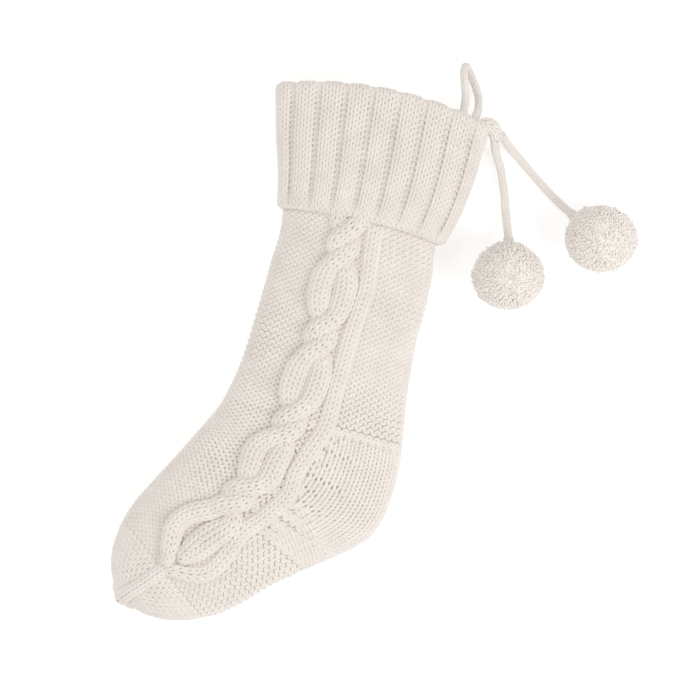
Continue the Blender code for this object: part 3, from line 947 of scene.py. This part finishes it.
ROPE_MIDDLE = -0.15
rope_places = np.linspace(HEM - 0.5, TOE_TIP, 500)
rope_line = front_point(rope_places, np.full(len(rope_places), ROPE_MIDDLE), 0)
rope_run = np.concatenate([[0], np.cumsum(np.linalg.norm(np.diff(rope_line, axis=0), axis=1))]) / MM
rope_run -= np.interp(HEM, rope_places, rope_run)
print("run at sections", np.interp(range(HEM, TOE_TIP + 1), rope_places, rope_run).round())


def strip_route(run, side, lift):
    """Points down a strip, a millimetre apart, for its side and its lift in mm at each."""
    at = np.interp(run, rope_run, rope_places)
    return front_point(at, side, (lift - HEM_TUCK * np.clip((TUCK_START - run) / TUCK_LENGTH, 0, 1)) * MM)


# %% How the strands cross, in millimetres
CROSSINGS = (13, 36, 97, 120, 180, 203, 263, 286)
SWAP_LENGTH = 12.0
STRAND_SPREAD, STRAND_MIDDLE = 11.0, -1.0
LAST_EYE, LAST_EYE_EASE = 288.0, 18.0
HIGH, LOW = 5.0, 0.0
LIFTED, LIFT_EASE = 13.5, 8.0  # half the length of a crossing, and of the slope at each of its ends
NARROW, WIDE = 15.0, 19.0
NARROW_REACH, WIDTH_EASE = 8.0, 14.0


def smooth_step(share):
    share = np.clip(share, 0, 1)
    return share * share * (3 - 2 * share)


def strand_side(run, start, last_eye):
    """Where a strand lies: it changes side at each crossing, and takes its own line in the last eye."""
    swaps = np.prod([np.tanh((run - crossing) / SWAP_LENGTH) for crossing in CROSSINGS], axis=0)
    lateral = STRAND_MIDDLE + STRAND_SPREAD * start * swaps
    side = eased(ROPE_SIDE, run) + lateral * MM / half_width(np.interp(run, rope_run, rope_places))
    share = smooth_step((run - LAST_EYE) / LAST_EYE_EASE)
    return side * (1 - share) + eased(last_eye, run) * share


def strand_lift(run, start):
    """How high a strand lies: it is on top where it crosses from the heel side."""
    height = np.full(len(run), (HIGH + LOW) / 2)
    for k, crossing in enumerate(CROSSINGS):
        share = smooth_step((LIFTED - np.abs(run - crossing)) / LIFT_EASE)
        height += start * (-1) ** k * (HIGH - LOW) / 2 * share
    return height


def strand_width(run, in_last_eye):
    """Strands spread out between the crossings and are drawn in where they cross."""
    nearest = np.min([np.abs(run - crossing) for crossing in CROSSINGS], axis=0)
    width = NARROW + (WIDE - NARROW) * np.clip((nearest - NARROW_REACH) / WIDTH_EASE, 0, 1)
    return np.where(run > CROSSINGS[-1] + 10, eased(in_last_eye, run), width)


# %% Knitting the cable
STRAND_HEIGHT, BAND_HEIGHT = 4.0, 2.6
LEAF_WIDTH = ((286, 300, 316, 336, 348, 356), (15, 17, 23, 23, 15, 4))
LOBE_WIDTH = ((286, 300, 350, 360, 368), (15, 15.5, 15.5, 12, 6))
BAND_WIDTH = ((0, 340, 358, 372), (12.5, 12.5, 11.5, 7))
STRAND_WALES, BAND_WALES = 4, 3
REACHES_DOWN = 0.55  # share of a strand's lift that is taken up by taller sides
TAPER_LENGTH = 16
CABLE_PITCH = 4.9
CABLE_DEPTH = 1.0 * MM
CABLE_LEAN = 0.30
FILLING, FILLING_DEPTH = 2.2 * MM, 2.9 * MM
UP = np.array((0, 0, 1.0))


def knit_strip(name, route, width, height, nodes, wales):
    """One strip of the cable, with three straight strands inside that fill it."""
    cloth = strip_cloth(route, np.broadcast_to(UP, route.shape), width * MM, height * MM)
    strands = plain_rows(cloth, wales, CABLE_PITCH, CABLE_DEPTH, swing=CABLE_LEAN)
    lines = np.arange(1.0, len(route) - 2, 2.0)
    for u in (0.33, 0.5, 0.67):
        under = cloth.at(lines, np.full(len(lines), u), np.full(len(lines), -FILLING_DEPTH))
        strands.append((under, False, np.full(len(lines), FILLING / BAND_YARN)))
    finish_piece(yarn_mesh(name, strands, BAND_YARN), "stocking", "cable_wool", nodes)


def tapered(run):
    return STRAND_HEIGHT * np.clip((run[-1] + 1 - run) / TAPER_LENGTH, 0.2, 1) ** 0.5


for name, start, last, side, width in (
    ("cable_strand_right", 1, LEAF_END, LEAF_SIDE, LEAF_WIDTH),
    ("cable_strand_left", -1, LOBE_END, LOBE_SIDE, LOBE_WIDTH),
):
    run = np.arange(STRIP_TOP, last, 1.0)
    lift = strand_lift(run, start)
    route = strip_route(run, strand_side(run, start, side), lift * (1 - REACHES_DOWN))
    height = tapered(run) + lift * REACHES_DOWN
    knit_strip(name + "_knitting", route, strand_width(run, width), height, [name], STRAND_WALES)
run = np.arange(STRIP_TOP, BAND_END, 1.0)
band_route = strip_route(run, eased(BAND_SIDE, run), 0 * run)
knit_strip("cable_border_knitting", band_route, eased(BAND_WIDTH, run), np.full(len(run), BAND_HEIGHT),
           ["cable_border_band"], BAND_WALES)

# %% [markdown]
# ## Felted backing
# Wool yarn is hairy, and the hairs of neighbouring loops felt together behind the stitches, so real
# knitting lets less light through than bare yarn does. A thin shell just inside the stitches stands for
# that web of hair. It follows the same grid, a point every few millimetres, and Solidify gives it its
# thickness.

# %% Making a shell
def shell(name, grid, thickness, tip=False):
    """A thin closed shell from a grid of rings, open at its first ring; tip closes the last one."""
    rows, columns = grid.shape[:2]
    points = [tuple(point) for point in grid.reshape(-1, 3)]
    number = np.arange(rows * columns).reshape(rows, columns)
    after = np.roll(number, -1, axis=1)
    corners = np.stack([number[:-1], number[1:], after[1:], after[:-1]], axis=-1)
    faces = corners.reshape(-1, 4).tolist()
    if tip:
        points.append(tuple(grid[-1].mean(axis=0)))
        faces += [(a, rows * columns, b) for a, b in zip(number[-1].tolist(), after[-1].tolist())]
    mesh = bpy.data.meshes.new(name)
    mesh.from_pydata(points, [], faces)
    mesh.shade_smooth()
    piece = bpy.data.objects.new(name, mesh)
    bpy.context.scene.collection.objects.link(piece)
    bpy.ops.object.select_all(action="DESELECT")
    bpy.context.view_layer.objects.active = piece
    piece.select_set(True)
    bpy.ops.object.mode_set(mode="EDIT")
    bpy.ops.mesh.select_all(action="SELECT")
    bpy.ops.mesh.normals_make_consistent(inside=False)
    bpy.ops.object.mode_set(mode="OBJECT")
    wall = piece.modifiers.new("wall", "SOLIDIFY")
    wall.thickness = thickness
    wall.offset = 0
    bpy.ops.object.modifier_apply(modifier=wall.name)
    return piece


# %% Backing shells
BACKING_DEPTH, TOE_BACKING_DEPTH, CUFF_BACKING_DEPTH = 2.5 * MM, 1.8 * MM, 3.7 * MM
BACKING_STEP, COLUMN_STEP = 5, 6  # lines and columns of the grid between points of a shell
LEG_FELT, CUFF_FELT = 1.0 * MM, 0.8 * MM
last_line = len(sock.grid) - 3
backing_lines = [*range(4, last_line, BACKING_STEP), last_line]
backing_depth = np.interp(np.arange(len(sock.grid)), (toe_line - 8, toe_line),
                          (BACKING_DEPTH, TOE_BACKING_DEPTH))
backing_grid = (sock.grid - sock.out * backing_depth[:, None, None])[backing_lines][:, ::COLUMN_STEP]
finish_piece(shell("leg_and_foot_backing", backing_grid, LEG_FELT, tip=True), "stocking", "ground_wool")
cuff_backing = cuff.grid - cuff.out * CUFF_BACKING_DEPTH
cuff_backing = cuff_backing[OUTER_LINE + 2:HEM_LINE - 5:BACKING_STEP, ::COLUMN_STEP]
finish_piece(shell("cuff_backing", cuff_backing, CUFF_FELT), "stocking", "rib_wool")

# %% [markdown]
# ## Rolled corner and stitches at the loop
# The two pompom cords are knotted inside the corner of the cuff, which they draw out into a small rolled
# tab. It is knitted like the cords, only fatter, and thins out where the cords leave it. The loop's feet
# are sewn to the fold with a few turns of yarn, over and over, which are small rings.

# %% Rolled corner
CORNER_ROUTE = ((80.0, 207.5, 18.0), (86.0, 212.5, 20.0), (91.5, 215.0, 20.5), (96.5, 212.0, 19.0),
                (99.5, 207.0, 16.5), (101.0, 202.5, 14.0))
CORNER_RADIUS = 6.0 * MM
CORNER_THINNING = 0.45
CORNER_YARN, CORNER_DEPTH, CORNER_WALES = 1.3 * MM, 0.6 * MM, 6
corner_line = read_curve(CORNER_ROUTE, 1 * MM)
share = np.linspace(0, 1, len(corner_line))
corner_radii = CORNER_RADIUS * (1 - CORNER_THINNING * share ** 3)
corner_cloth = cord_cloth(corner_line, corner_radii[:, None, None])
corner_strands = plain_rows(corner_cloth, CORNER_WALES, CORD_PITCH, CORNER_DEPTH)
corner_strands.append((corner_line[::2], False, corner_radii[::2] * 0.9 / CORNER_YARN))
corner_piece = yarn_mesh("corner_knot_roll", corner_strands, CORNER_YARN)
finish_piece(corner_piece, "stocking", "rib_wool", ["corner_knot"])

# %% Stitches at the loop
TACK_MIDDLE = np.array((70.5, 208.6, 20.0)) * MM
TACK_SIZE = np.array((0.9, 4.6, 4.9)) * MM  # lean, half width and half height of a stitch
TACK_PLACES = np.linspace(-7.5, 7.5, 6) * MM
TACK_YARN = 1.15 * MM
turn = np.linspace(0, 2 * math.pi, 15)[:-1]
stitch = TACK_MIDDLE + TACK_SIZE * np.stack([np.sin(turn), np.cos(turn), np.sin(turn)], axis=1)
stitches = [(stitch + (x, 0, 0), True) for x in TACK_PLACES]
tack_piece = yarn_mesh("loop_tack_stitches", stitches, TACK_YARN)
finish_piece(tack_piece, "stocking", "sewing_thread", ["loop_tack"])
